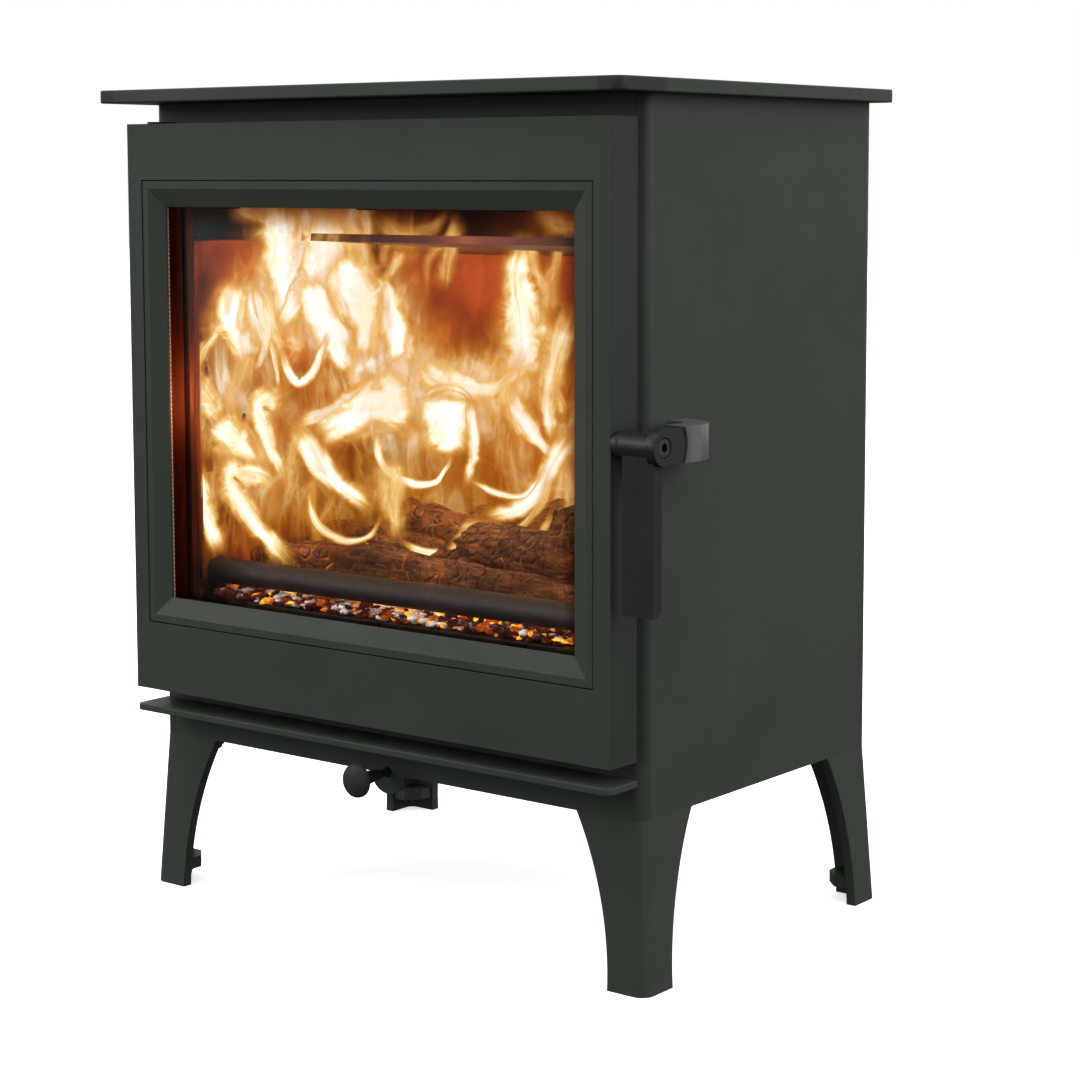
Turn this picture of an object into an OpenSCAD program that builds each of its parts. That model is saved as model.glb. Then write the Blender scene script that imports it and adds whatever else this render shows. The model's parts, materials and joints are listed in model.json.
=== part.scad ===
// Free-standing wood burning stove on four splayed legs, with a glazed
// side-hung door, a lift-up door handle and a pull rod for the air supply.
// X is to the right seen from the front, +Y to the back and +Z up.

/* [Body] */
// Height from the floor to the top of the hob plate
stove_h = 640; // [620:1:680]
// Width of the welded body
body_w = 482; // [470:1:500]
// Depth of the welded body
body_d = 302; // [296:1:330]
// Height of the legs, up to the bottom edge of the body
leg_h = 124; // [110:1:130]
// Outer radius of the folded body corners
corner_r = 10; // [8:0.5:12]
// Thickness of the body plate
wall = 5; // [4:0.5:6]

/* [Hob plate] */
// Thickness of the hob plate
plate_t = 10; // [8:0.5:12]
// How far the plate passes the body at each side
plate_side = 14.5; // [10:0.5:20]
// How far the plate passes the body at the front
plate_front = 46.5; // [40:0.5:55]
// How far the plate passes the body at the back
plate_back = 8.5; // [5:0.5:12]
// Radius of the plate's corners
plate_r = 8; // [4:0.5:12]

/* [Door] */
// Width of the door casting
door_w = 473; // [460:1:478]
// Height of the door's lower edge above the floor
door_low = 167; // [165:1:170]
// Height of the door's upper edge above the floor
door_high = 614; // [608:1:616]
// How far the door's face stands in front of the body
door_proud = 32.5; // [31:0.5:36]
// Width of the visible glass
window_w = 401.6; // [390:0.2:402]
// Height of the lower edge of the visible glass
window_low = 241.8; // [240:0.2:250]
// Height of the upper edge of the visible glass
window_high = 549.8; // [540:0.2:550]
// Width of the sloping frame round the glass
bezel_w = 20; // [18:0.5:22]

/* [Handle] */
// Height of the handle pivot above the floor
handle_z = 392; // [380:1:400]
// Radius of the handle barrel
barrel_r = 10; // [9:0.5:11]
// Length of the black grip below the pivot
grip_len = 116; // [100:1:125]
// Width of the grip
grip_w = 26; // [22:0.5:27]
// Thickness of the grip
grip_t = 9.7; // [8:0.1:11]

/* [Air control] */
// Radius of the air knob
knob_r = 12.8; // [11:0.1:14]
// Height of the air rod above the floor
rod_z = 125.5; // [125:0.5:126]
// Sideways place of the air rod
rod_x = 2; // [0:0.5:3]

/* [Legs] */
// Width of a leg at the top
leg_top_w = 59; // [52:1:64]
// Width of a leg at the floor
foot_w = 33.5; // [30:0.5:36]
// How far each foot is splayed out, in both directions
splay = 7; // [4:0.5:9]
// Wall thickness of the leg casting
leg_wall = 8; // [6:0.5:9]

/* [Flue] */
// Inner radius of the flue collar
flue_r = 63.5; // [62:0.5:64]
// Height of the flue centre above the floor
flue_z = 545; // [543:1:547]

/* [Hidden] */
$fn = 96;
tiny = 0.01;
fit = 0.05;              // play between parts that touch
through = 1;             // how far a cutter passes a face
paint = "#363b34";
side_paint = "#41443f";
iron = "#2a2a28";
black = "#222224";
steel = "#8b8d8f";
brick = "#a4573a";
rope = "#c9c4b4";

plate_low = stove_h - plate_t;
half_w = body_w / 2;
half_d = body_d / 2;
front_y = -half_d;
inner_front = front_y + wall;
inner_back = half_d - wall;
back_half = half_w - corner_r;

// Door levels, front to back
door_half = door_w / 2;
door_y = front_y - door_proud;
door_back = front_y - 1.5;
skin_t = 10;
skin_back = door_y + skin_t;
pocket_y = skin_back - 2;
gasket_t = 2;
glass_t = 4;
glass_y = skin_back + gasket_t;
glass_back = glass_y + glass_t;
glass_half = window_w / 2 + 7.2;
glass_low = window_low - 6.3;
glass_high = window_high + 6.7;
cavity_half = glass_half + 1.5;
cavity_low = door_low + 27;
cavity_high = door_high - 27;
seal_inset = 13.5;
seal_w = 10;
seal_depth = 8;
clip_x = [-140, 0, 140];

// Loading opening in the front of the body
opening_half = 205;
opening_low = door_low + 28;
opening_high = door_high - 28;
opening_r = 12;

// Door hinge, a vertical pin near the door's left edge
hinge_x = -door_half + 8;
hinge_y = door_back - 9.5;
pin_r = 3;
pin_fit = 0.06;
lug_t = 8;
lug_low = door_low - 2;
lug_high = door_high - 6;
notch = 8;
lug_r = 5.5;
notch_reach = 16.5;
pin_len = 16;
washer_t = 2;

// Handle, turning on a bolt that lies along X
pivot_y = door_y + 8;
bush_out = door_half + 6.2;
bolt_r = 5;
bolt_in = window_w / 2 + bezel_w + 3;
barrel_x = bush_out + 0.5;
head_r = 12.8;
head_x = barrel_x + 25;
reach_x = head_x + 8;
arm_x = reach_x - 19.3;
arm_r = 23.3;
arm_half = 12;
grip_gap = 0.05;
grip_screw_r = 1.6;
grip_x = barrel_x + 3.2;

// Keeper on the body side, facing the end of the handle's arm
keeper_gap = 3.2;
keeper_h = 25;
keeper_half = keeper_h / 2;
bend_y = pivot_y + 42.5;
bend_r = 30;
bend_in = bend_r - 18;
keeper_screw_y = bend_y + bend_r - 9;
keeper_screws_z = [handle_z - 7, handle_z + 7];

// Ash lip
lip_z = 148.5;
lip_t = 5.4;
lip_reach = 34.5;
lip_r = 6;

// Firebox
base_z = 181;
base_top = base_z + 5;
fire_half = 204;
brick_t = 25;
fire_front = -145;
fire_back = 101;
brick_back = fire_back + brick_t;
duct_top = 462;          // below the flue screws
bed_low = 228;
bed_top = 238;
ledge_z = 232;
throat_back_z = 508;
throat_front_z = 523;
throat_front_y = -100;
baffle_t = 6;
throat_tilt = atan((throat_front_z - throat_back_z) / (fire_back - throat_front_y));
grate_half = 152;
grate_front = -97;
grate_back = 87;
ledge_w = 8;
pan_half = 188;
pan_front = -138;
pan_back = 88;
pan_top = 222;
sheet_t = 1.5;
guard_y = -134;
guard_z = 259.6;
guard_r = 10.3;

// Air box under the firebox and its slide
air_low = 131.1;
air_left = rod_x - 72;
air_right = rod_x + 72;
air_back = 40;
rod_r = 2.8;
slide_z = rod_z + 3.3;
slide_t = 2;
knob_y = -186;
neck_y = -161.5;

// Hob outlet cover and rear flue collar
cover_y = 60;
cover_r = 66.3;
collar_len = 45;
collar_t = 5;
flange_thick = 7;
flange_r = flue_r + 17;
collar_screw_r = flue_r + 11;

// Legs: radius of the curved inner edge that joins the two widths
edge_rise = leg_top_w + splay - foot_w;
edge_r = (leg_h * leg_h + edge_rise * edge_rise) / (2 * edge_rise);
lug_z = 12;
foot_lug_t = 9.5;
screw_low = 8;           // lower end of the levelling screws, wound up into the feet
flange_t = 6.4;
gusset_t = 6;
thread_r = 4;            // leg bolts and levelling screws
leg_bolt_places = [[-38, 18], [-18, 38]];
level_place = [-12, 12];
leg_corners = [[-1, -1], [1, -1], [-1, 1], [1, 1]];

// The row's origin is on the floor under the middle of the whole outline
centre_x = (reach_x - (half_w + plate_side)) / 2;
centre_y = (half_d + collar_len - (half_d + plate_front)) / 2;

// ---- shared shapes ----

// Block between two opposite corners
module block(low, high) {
    translate(low) cube(high - low);
}

// Rounded rectangle round the origin
module rounded(w, d, r) {
    square([w - 2 * r, d], center = true);
    square([w, d - 2 * r], center = true);
    for (sx = [-1, 1], sy = [-1, 1])
        translate([sx * (w / 2 - r), sy * (d / 2 - r)]) circle(r);
}

// Flat rectangular ring in the plane of the door, from y0 to y1
module door_ring(y0, y1, half_out, low_out, high_out, w) {
    difference() {
        block([-half_out, y0, low_out], [half_out, y1, high_out]);
        block([-half_out + w, y0 - through, low_out + w], [half_out - w, y1 + through, high_out - w]);
    }
}

// Cylinders along X and along Y
module bar_x(x0, x1, y, z, r) {
    translate([x0, y, z]) rotate([0, 90, 0]) cylinder(h = x1 - x0, r = r);
}
module bar_y(y0, y1, x, z, r) {
    translate([x, y0, z]) rotate([-90, 0, 0]) cylinder(h = y1 - y0, r = r);
}
module bar_z(z0, z1, x, y, r) {
    translate([x, y, z0]) cylinder(h = z1 - z0, r = r);
}

// Places its children at one corner of the body, outward in X and Y
module at_corner(c) {
    translate([c[0] * half_w, c[1] * half_d, 0])
        mirror([c[0] < 0 ? 1 : 0, 0, 0])
            mirror([0, c[1] > 0 ? 1 : 0, 0])
                children();
}

// ---- body ----

module body_wrap() color(side_paint) {
    difference() {
        translate([0, 0, leg_h]) linear_extrude(plate_low - leg_h) difference() {
            rounded(body_w, body_d, corner_r);
            rounded(body_w - 2 * wall, body_d - 2 * wall, corner_r - wall);
            translate([-back_half, inner_back - through]) square([2 * back_half, wall + 2 * through]);
        }
        translate([0, inner_front + through, (opening_low + opening_high) / 2])
            rotate([90, 0, 0])
                linear_extrude(wall + 2 * through)
                    rounded(2 * opening_half, opening_high - opening_low, opening_r);
        bar_y(front_y - through, inner_front + through, rod_x, rod_z, rod_r + 1.4);
        for (z = keeper_screws_z) bar_x(half_w - wall - through, half_w + through, keeper_screw_y, z, 3);
    }
    difference() {
        bar_y(front_y, inner_front, rod_x, rod_z, 17);
        block([rod_x - 20, front_y - through, leg_h], [rod_x + 20, inner_front + through, rod_z + 20]);
        bar_y(front_y - through, inner_front + through, rod_x, rod_z, rod_r + 1.4);
    }
}

module back_panel() color(side_paint) difference() {
    block([-back_half, inner_back, leg_h], [back_half, half_d, plate_low]);
    bar_y(inner_back - through, half_d + through, 0, flue_z, flue_r);
    for (a = [45:90:315])
        bar_y(inner_back - through, half_d + through, collar_screw_r * cos(a), flue_z + collar_screw_r * sin(a), 3);
}

module base_plate() color(iron) difference() {
    translate([0, 0, base_z]) linear_extrude(base_top - base_z)
        rounded(body_w - 2 * wall - 2 * fit, body_d - 2 * wall - 2 * fit, corner_r - wall);
    block([rod_x - 30, -80, base_z - through], [rod_x + 30, 0, base_top + through]);
}

module hob_plate() color(paint) difference() {
    translate([0, (plate_back - plate_front) / 2, plate_low])
        linear_extrude(plate_t)
            rounded(body_w + 2 * plate_side, body_d + plate_front + plate_back, plate_r);
    bar_z(plate_low - through, stove_h + through, 0, cover_y, cover_r + 0.3);
}

module outlet_cover() color(paint) {
    bar_z(plate_low, stove_h, 0, cover_y, cover_r);
    bar_z(plate_low - 5, plate_low, 0, cover_y, cover_r + 8);
}

module flue_collar() color(iron) difference() {
    bar_y(half_d, half_d + collar_len, 0, flue_z, flue_r + collar_t);
    bar_y(half_d - through, half_d + collar_len + through, 0, flue_z, flue_r);
}

module collar_flange() color(iron) difference() {
    bar_y(half_d, half_d + flange_thick, 0, flue_z, flange_r);
    bar_y(half_d - through, half_d + flange_thick + through, 0, flue_z, flue_r + collar_t);
    for (a = [45:90:315])
        bar_y(half_d - through, half_d + flange_thick + through,
              collar_screw_r * cos(a), flue_z + collar_screw_r * sin(a), 3);
}

module collar_screws() color(steel) for (a = [45:90:315]) {
    x = collar_screw_r * cos(a);
    z = flue_z + collar_screw_r * sin(a);
    bar_y(inner_back - 4, half_d + flange_thick, x, z, 3 - 2 * fit);
    difference() {
        bar_y(half_d + flange_thick, half_d + flange_thick + 5, x, z, 5);
        translate([x, half_d + flange_thick + 2, z]) rotate([-90, 0, 0]) cylinder(h = 4, r = 2.9, $fn = 6);
    }
}

module ash_lip() color(paint) translate([0, 0, lip_z]) linear_extrude(lip_t) {
    translate([-door_half, front_y - lip_reach + lip_r]) square([door_w, lip_reach - lip_r]);
    translate([-door_half + lip_r, front_y - lip_reach]) square([door_w - 2 * lip_r, lip_reach]);
    for (s = [-1, 1])
        translate([s * (door_half - lip_r), front_y - lip_reach + lip_r]) circle(lip_r);
}

module corner_gussets() color(iron) for (c = leg_corners) at_corner(c)
    translate([0, 0, leg_h]) difference() {
        linear_extrude(gusset_t) polygon([[-10, wall], [-wall, 10], [-wall, 54], [-14, 54], [-54, 14], [-54, wall]]);
        for (p = leg_bolt_places) bar_z(-through, gusset_t + through, p[0], p[1], thread_r + 0.2);
    }

// ---- legs ----

// Square in the leg's corner, as far in as reach, with the outer corner rounded
module leg_slice(z, shift, inset, reach) {
    r = corner_r - inset / 2;
    translate([shift, -shift, z]) linear_extrude(tiny) {
        translate([-reach, inset]) square([reach - inset - r, reach - inset]);
        translate([-reach, inset + r]) square([reach - inset, reach - inset - r]);
        translate([-inset - r, inset + r]) circle(r, $fn = 32);
    }
}

module leg_prism(inset, reach, low, high) hull() {
    leg_slice(high - tiny, splay * (1 - high / leg_h), inset, reach);
    leg_slice(low, splay * (1 - low / leg_h), inset, reach);
}

module leg() color(side_paint) difference() {
    union() {
        difference() {
            leg_prism(0, leg_top_w + splay, 0, leg_h);
            leg_prism(leg_wall, leg_top_w + 2 * splay, -through, leg_h + through);
            translate([splay - foot_w - edge_r, -splay - 2, 0])
                rotate([-90, 0, 0]) cylinder(h = 2 * leg_top_w, r = edge_r, $fn = 360);
            translate([-2 * leg_top_w, foot_w - splay + edge_r, 0])
                rotate([0, 90, 0]) cylinder(h = 2 * leg_top_w + splay + 2, r = edge_r, $fn = 360);
        }
        translate([0, 0, lug_z]) linear_extrude(foot_lug_t)
            polygon([[1, -1], [1, 25], [-14, 25], [-25, 14], [-25, -1]]);
        translate([0, 0, leg_h - flange_t]) linear_extrude(flange_t)
            polygon([[-leg_wall, leg_wall], [-leg_wall, 52], [-16, 52], [-52, 16], [-52, leg_wall]]);
    }
    bar_z(lug_z - through, lug_z + foot_lug_t + through, level_place[0], level_place[1], thread_r);
    for (p = leg_bolt_places) bar_z(leg_h - flange_t - through, leg_h + through, p[0], p[1], thread_r + 0.2);
}

module leg_front_left() at_corner([-1, -1]) leg();
module leg_front_right() at_corner([1, -1]) leg();
module leg_rear_left() at_corner([-1, 1]) leg();
module leg_rear_right() at_corner([1, 1]) leg();

module leg_bolts() color(steel) for (c = leg_corners, p = leg_bolt_places) at_corner(c)
    translate([p[0], p[1], leg_h - flange_t]) {
        translate([0, 0, -5]) cylinder(h = 5, r = 7, $fn = 6);
        cylinder(h = flange_t + gusset_t, r = thread_r);
        translate([0, 0, flange_t + gusset_t]) cylinder(h = 6, r = 7, $fn = 6);
    }

// Headless grub screws, wound up into the feet
module levelling_screws() color(steel) for (c = leg_corners) at_corner(c)
    translate([level_place[0], level_place[1], screw_low])
        cylinder(h = lug_z + foot_lug_t - screw_low, r = thread_r);

// ---- firebox ----

// Side brick: its top follows the slope of the baffle
module side_brick(x0, x1) color(brick)
    translate([x0, 0, 0]) rotate([90, 0, 90]) linear_extrude(x1 - x0)
        polygon([
            [fire_front, base_top], [brick_back, base_top],
            [brick_back, throat_back_z], [fire_back, throat_back_z],
            [throat_front_y, throat_front_z], [fire_front, throat_front_z]
        ]);

module firebrick_left() side_brick(-fire_half - brick_t, -fire_half);
module firebrick_right() side_brick(fire_half, fire_half + brick_t);

module firebrick_rear() color(brick)
    block([-fire_half, fire_back, base_top], [fire_half, brick_back, throat_back_z]);

module baffle_plate() color(iron)
    translate([0, fire_back, throat_back_z]) rotate([-throat_tilt, 0, 0])
        block([-fire_half - 18, -(fire_back - throat_front_y) / cos(throat_tilt), 0.05], [fire_half + 18, 0, baffle_t]);

module fire_bed_frame() color(iron) {
    difference() {
        block([-fire_half + 1, -143, bed_low], [fire_half - 1, fire_back, bed_top]);
        block([-grate_half, grate_front, ledge_z], [grate_half, grate_back, bed_top + through]);
        block([-grate_half + ledge_w, grate_front + ledge_w, bed_low - through],
              [grate_half - ledge_w, grate_back - ledge_w, bed_top]);
    }
    for (s = [0, 1]) mirror([s, 0, 0])
        block([fire_half - 9, -110, base_top], [fire_half - 1, fire_back, bed_low]);
    block([-fire_half + 9, fire_back - 8, base_top], [fire_half - 9, fire_back, bed_low]);
}

module grate() color(iron) difference() {
    block([-grate_half + 1, grate_front + 1, ledge_z], [grate_half - 1, grate_back - 1, bed_top]);
    for (x = [-133:19:133], y = [-86, 1])
        block([x - 4.5, y, ledge_z - through], [x + 4.5, y + 75, bed_top + through]);
}

module log_guard() color(iron) {
    bar_x(-fire_half + 6, fire_half - 6, guard_y, guard_z, guard_r);
    for (s = [0, 1]) mirror([s, 0, 0]) union() {
        block([fire_half - 7, guard_y - 8, bed_top], [fire_half - 2, guard_y + 12, guard_z]);
        bar_x(fire_half - 7, fire_half - 2, guard_y, guard_z, guard_r + 3);
    }
}

module ash_pan() color(steel) difference() {
    block([-pan_half, pan_front, base_top], [pan_half, pan_back, pan_top]);
    block([-pan_half + sheet_t, pan_front + sheet_t, base_top + sheet_t],
          [pan_half - sheet_t, pan_back - sheet_t, pan_top + through]);
}

module ash_pan_handle() color(steel) {
    bar_x(-48, 48, pan_front - 12, base_top + 20, 3);
    for (s = [-1, 1]) bar_y(pan_front - 12, pan_front, s * 45, base_top + 20, 3);
}

module airwash_deflector() color(iron) {
    block([-opening_half, inner_front, opening_high + 11], [opening_half, -112, opening_high + 14]);
    block([-opening_half, -115, opening_high + 14], [opening_half, -112, plate_low - 2]);
}

module rear_air_duct() color(iron) difference() {
    block([-60, brick_back, base_top], [60, inner_back, duct_top]);
    block([-57.5, brick_back + 2.5, base_top - through], [57.5, inner_back - 2.5, duct_top + through]);
}

// ---- air supply ----

module air_box() color(iron) difference() {
    block([air_left, inner_front, air_low], [air_right, air_back, base_z]);
    block([air_left + 2.5, inner_front + 2.5, air_low + 2.5], [air_right - 2.5, air_back - 2.5, base_z + through]);
    block([rod_x - 32, -75, air_low - through], [rod_x + 32, -25, air_low + 4]);
}

module air_rod() color(black) bar_y(neck_y, -22, rod_x, rod_z, rod_r);

// Mushroom knob: shallow dome, rim and a neck that narrows towards the rod
module air_knob() color(black)
    translate([rod_x, knob_y, rod_z]) rotate([-90, 0, 0]) rotate_extrude()
        polygon(concat(
            [for (a = [0:7.5:90]) [knob_r * sin(a), -5.5 * cos(a)]],
            [[knob_r, 1.5], [knob_r - 2, 4], [7, 6.5], [5.6, 11], [4.4, 18]],
            [[4, neck_y - knob_y], [0, neck_y - knob_y]]
        ));

module air_slide() color(steel) {
    block([rod_x - 50, -85, slide_z], [rod_x + 50, -15, slide_z + slide_t]);
    difference() {
        block([rod_x - 7, -36, rod_z - 6.5], [rod_x + 7, -22, slide_z]);
        bar_y(-36 - through, -22, rod_x, rod_z, rod_r);
    }
}

// ---- hinges and keeper ----

module hinge_lug(z) color(black) translate([0, 0, z]) linear_extrude(lug_t) difference() {
    union() {
        translate([hinge_x, hinge_y]) circle(lug_r);
        polygon([
            [hinge_x - lug_r, hinge_y], [hinge_x + lug_r, hinge_y],
            [hinge_x + 14, front_y], [hinge_x - 2.5, front_y]
        ]);
    }
    translate([hinge_x, hinge_y]) circle(pin_r);
}

module hinge_lug_upper() hinge_lug(lug_high);
module hinge_lug_lower() hinge_lug(lug_low);

module hinge_pins() color(steel) {
    bar_z(lug_high - pin_len, lug_high + lug_t, hinge_x, hinge_y, pin_r);
    bar_z(lug_low, lug_low + lug_t + washer_t + pin_len, hinge_x, hinge_y, pin_r);
}

module hinge_washer() color("#a8884c") difference() {
    bar_z(lug_low + lug_t, lug_low + lug_t + washer_t - 0.05, hinge_x, hinge_y, 5);
    bar_z(lug_low, lug_low + lug_t + washer_t + through, hinge_x, hinge_y, pin_r);
}

// Keeper: a bar that leaves the body side, bends forward and ends in a hollow
module latch_keeper() color(paint) difference() {
    translate([0, 0, handle_z - keeper_half]) linear_extrude(keeper_h) {
        translate([arm_x + 1.3, pivot_y + arm_half]) square([18, bend_y - pivot_y - arm_half]);
        intersection() {
            translate([reach_x - bend_r, bend_y]) difference() {
                circle(bend_r, $fn = 128);
                circle(bend_in);
            }
            translate([reach_x - bend_r, bend_y]) square(bend_r + 1);
        }
        translate([half_w, bend_y + bend_in])
            square([reach_x - bend_r - half_w, bend_r - bend_in]);
    }
    bar_x(half_w - through, reach_x + through, pivot_y, handle_z, arm_r + keeper_gap);
    for (z = keeper_screws_z) bar_x(half_w - through, half_w + 9, keeper_screw_y, z, 3);
}

module keeper_screws() color(steel) for (z = keeper_screws_z) {
    bar_x(half_w - wall, half_w + 9, keeper_screw_y, z, 3 - 2 * fit);
    bar_x(half_w - wall - 4, half_w - wall, keeper_screw_y, z, 5.5);
}

// ---- door ----

// Block that narrows from front to back on all four sides
module bezel_hole(y0, y1, half0, low0, high0, half1, low1, high1) intersection() {
    translate([0, 0, low0 - 10]) linear_extrude(high0 - low0 + 20)
        polygon([[-half0, y0], [half0, y0], [half1, y1], [-half1, y1]]);
    translate([-half0 - 10, 0, 0]) rotate([90, 0, 90]) linear_extrude(2 * half0 + 20)
        polygon([[y0, low0], [y1, low1], [y1, high1], [y0, high0]]);
}

module door_frame() color(paint) {
    pocket_half = window_w / 2 + bezel_w + 0.7;
    difference() {
        block([-door_half, door_y, door_low], [door_half, door_back, door_high]);
        block([-pocket_half, door_y - through, window_low - bezel_w - 0.7],
              [pocket_half, pocket_y, window_high + bezel_w + 0.7]);
        block([-window_w / 2 - 2.2, pocket_y - through, window_low - 2.2],
              [window_w / 2 + 2.2, skin_back + through, window_high + 2.2]);
        block([-cavity_half, skin_back, cavity_low], [cavity_half, door_back + through, cavity_high]);
        door_ring(door_back - seal_depth, door_back + through, door_half - seal_inset,
                  door_low + seal_inset, door_high - seal_inset, seal_w);
        // Room for the hinge lugs, and the pin bores
        block([-door_half - through, skin_back, door_high - notch],
              [hinge_x + notch_reach, door_back + through, door_high + through]);
        block([-door_half - through, skin_back, door_low - through],
              [hinge_x + notch_reach, door_back + through, door_low + notch]);
        bar_z(door_high - notch - pin_len, door_high, hinge_x, hinge_y, pin_r + pin_fit);
        bar_z(door_low, door_low + notch + pin_len, hinge_x, hinge_y, pin_r + pin_fit);
        // Back edge by the hinge, cut off so that it clears the body
        translate([0, 0, door_low - through]) linear_extrude(door_high - door_low + 2 * through)
            polygon([
                [-door_half - 2, door_back - 8], [-door_half + 8, door_back + 2],
                [-door_half - 2, door_back + 2]
            ]);
        bar_x(bolt_in, door_half + through, pivot_y, handle_z, bolt_r + fit);
    }
    for (x = clip_x) {
        clip_boss(x, window_high + 21);
        clip_boss(x, window_low - 21);
    }
}

// Boss behind the door's face that a glass clip is screwed to
module clip_boss(x, z) difference() {
    block([x - 12, skin_back, z - 10], [x + 12, glass_back, z + 10]);
    bar_y(skin_back, glass_back + through, x, z, 2.5);
}

module door_bezel() color(paint) {
    out_half = window_w / 2 + bezel_w;
    face_y = door_y + 0.3;
    flat = 6;
    slope_y = face_y + 5.6;
    in_half = window_w / 2;
    difference() {
        block([-out_half, face_y, window_low - bezel_w], [out_half, pocket_y, window_high + bezel_w]);
        bezel_hole(face_y, slope_y, out_half - flat, window_low - bezel_w + flat, window_high + bezel_w - flat,
                   in_half, window_low, window_high);
        block([-in_half, face_y - through, window_low], [in_half, pocket_y + through, window_high]);
    }
}

module door_glass() color("#5a2a18")
    block([-glass_half, glass_y, glass_low], [glass_half, glass_back, glass_high]);

module glass_gasket() color(rope) door_ring(skin_back, glass_y, glass_half - 0.5, glass_low + 0.5, glass_high - 0.5, 3.5);

module door_seal() color(rope)
    door_ring(door_back - seal_depth, front_y - 0.3, door_half - seal_inset - 0.3,
              door_low + seal_inset + 0.3, door_high - seal_inset - 0.3, seal_w - 0.6);

module glass_clips() color(steel) for (x = clip_x, top = [0, 1]) {
    edge = top ? window_high : window_low;
    out = top ? 1 : -1;
    z0 = min(edge - out, edge + out * 31);
    z1 = max(edge - out, edge + out * 31);
    difference() {
        block([x - 9, glass_back, z0], [x + 9, glass_back + 2, z1]);
        bar_y(glass_back - through, glass_back + 3, x, edge + out * 21, 2.5);
    }
}

module clip_screws() color(steel) for (x = clip_x, z = [window_high + 21, window_low - 21]) {
    bar_y(skin_back, glass_back + 2, x, z, 2.5);
    difference() {
        bar_y(glass_back + 2, glass_back + 5, x, z, 4.5);
        translate([x, glass_back + 3, z]) rotate([-90, 0, 0]) cylinder(h = 3, r = 2.3, $fn = 6);
    }
}

// ---- handle ----

module handle_bush() color(paint) difference() {
    bar_x(door_half, bush_out, pivot_y, handle_z, 9.3);
    bar_x(door_half - through, bush_out + through, pivot_y, handle_z, bolt_r + fit);
}

module handle_bolt() color(steel) {
    bar_x(bolt_in + fit, head_x, pivot_y, handle_z, bolt_r);
    difference() {
        bar_x(head_x, reach_x - 0.5, pivot_y, handle_z, 6.3);
        translate([reach_x - 5, pivot_y, handle_z]) rotate([0, 90, 0]) cylinder(h = 6, r = 3.4, $fn = 6);
    }
}

module handle_head() color(paint) difference() {
    union() {
        bar_x(barrel_x, reach_x, pivot_y, handle_z, barrel_r);
        bar_x(head_x, reach_x, pivot_y, handle_z, head_r);
        intersection() {
            block([arm_x, pivot_y, handle_z - arm_half], [reach_x, pivot_y + arm_r, handle_z + arm_half]);
            bar_x(arm_x, reach_x, pivot_y, handle_z, arm_r);
        }
    }
    bar_x(barrel_x - through, reach_x + through, pivot_y, handle_z, bolt_r + pin_fit);
    bar_x(head_x - 0.05, reach_x + through, pivot_y, handle_z, 7.1);
}

module handle_grip() color(black) difference() {
    block([grip_x, door_y, handle_z - grip_len], [grip_x + grip_w, door_y + grip_t, handle_z - 5]);
    bar_x(grip_x - through, grip_x + grip_w + through, pivot_y, handle_z, barrel_r + grip_gap);
    bar_x(head_x - 0.4, reach_x, pivot_y, handle_z, head_r + 0.3);
    difference() {
        block([grip_x - through, door_y + grip_t - 7, handle_z - grip_len - through],
              [grip_x + grip_w + through, door_y + grip_t + through, handle_z - grip_len + 7]);
        bar_x(grip_x - 2, grip_x + grip_w + 2, door_y + grip_t - 7, handle_z - grip_len + 7, 7);
    }
    for (x = [grip_x + 6, grip_x + 14]) bar_z(handle_z - 26, handle_z, x, pivot_y, grip_screw_r + fit);
    block([arm_x - grip_gap, pivot_y - grip_gap, handle_z - arm_half - grip_gap], [reach_x, door_y + grip_t + through, handle_z]);
}

// Two screws that hold the grip to the barrel from above
module grip_screws() color(steel) for (x = [grip_x + 6, grip_x + 14])
    bar_z(handle_z - 26, handle_z - arm_half - fit, x, pivot_y, grip_screw_r);

// Everything is drawn about the row's origin
module placed() translate([-centre_x, -centre_y, 0]) children();

placed() body_wrap();
placed() back_panel();
placed() base_plate();
placed() hob_plate();
placed() outlet_cover();
placed() flue_collar();
placed() collar_flange();
placed() collar_screws();
placed() ash_lip();
placed() corner_gussets();
placed() leg_front_left();
placed() leg_front_right();
placed() leg_rear_left();
placed() leg_rear_right();
placed() leg_bolts();
placed() levelling_screws();
placed() firebrick_left();
placed() firebrick_right();
placed() firebrick_rear();
placed() baffle_plate();
placed() fire_bed_frame();
placed() grate();
placed() log_guard();
placed() ash_pan();
placed() ash_pan_handle();
placed() airwash_deflector();
placed() rear_air_duct();
placed() air_box();
placed() hinge_lug_upper();
placed() hinge_lug_lower();
placed() hinge_pins();
placed() hinge_washer();
placed() latch_keeper();
placed() keeper_screws();
placed() door_frame();
placed() door_bezel();
placed() door_glass();
placed() glass_gasket();
placed() door_seal();
placed() glass_clips();
placed() clip_screws();
placed() handle_bush();
placed() handle_bolt();
placed() handle_head();
placed() handle_grip();
placed() grip_screws();
placed() air_rod();
placed() air_knob();
placed() air_slide();
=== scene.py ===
"""Looks of the wood burning stove: paint, castings, firebrick, glass and a burning fire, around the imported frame."""

import json
import math
import random

import bmesh
import bpy
from mathutils import Matrix, Vector, noise


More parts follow.
